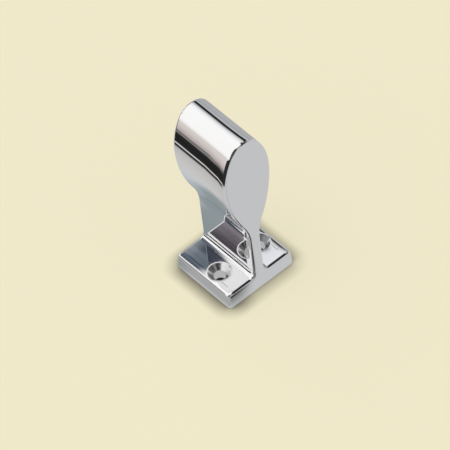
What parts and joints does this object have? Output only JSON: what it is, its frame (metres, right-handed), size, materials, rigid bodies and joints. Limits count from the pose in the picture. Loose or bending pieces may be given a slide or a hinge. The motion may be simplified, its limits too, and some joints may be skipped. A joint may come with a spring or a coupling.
{
  "type": "handrail bracket",
  "caption": "Handrail end bracket: a polished casting with a tall rounded head, a blind socket for the rail, a thin web and a rectangular base with countersunk screw holes.",
  "frame": {"origin": "centre of the base's underside, which lies on the mounting surface", "axes": "+Z away from the mounting surface, +Y along the rail axis out of the socket's mouth, closed end towards -Y, screw holes side by side along X"},
  "size_m": [0.0426, 0.04, 0.1084],
  "materials": {
    "polished_casting": "polished",
    "screw_steel": "satin"
  },
  "bodies": {
    "root": {"bracket": "polished_casting", "grub_screw": "screw_steel"}
  },
  "joints": []
}
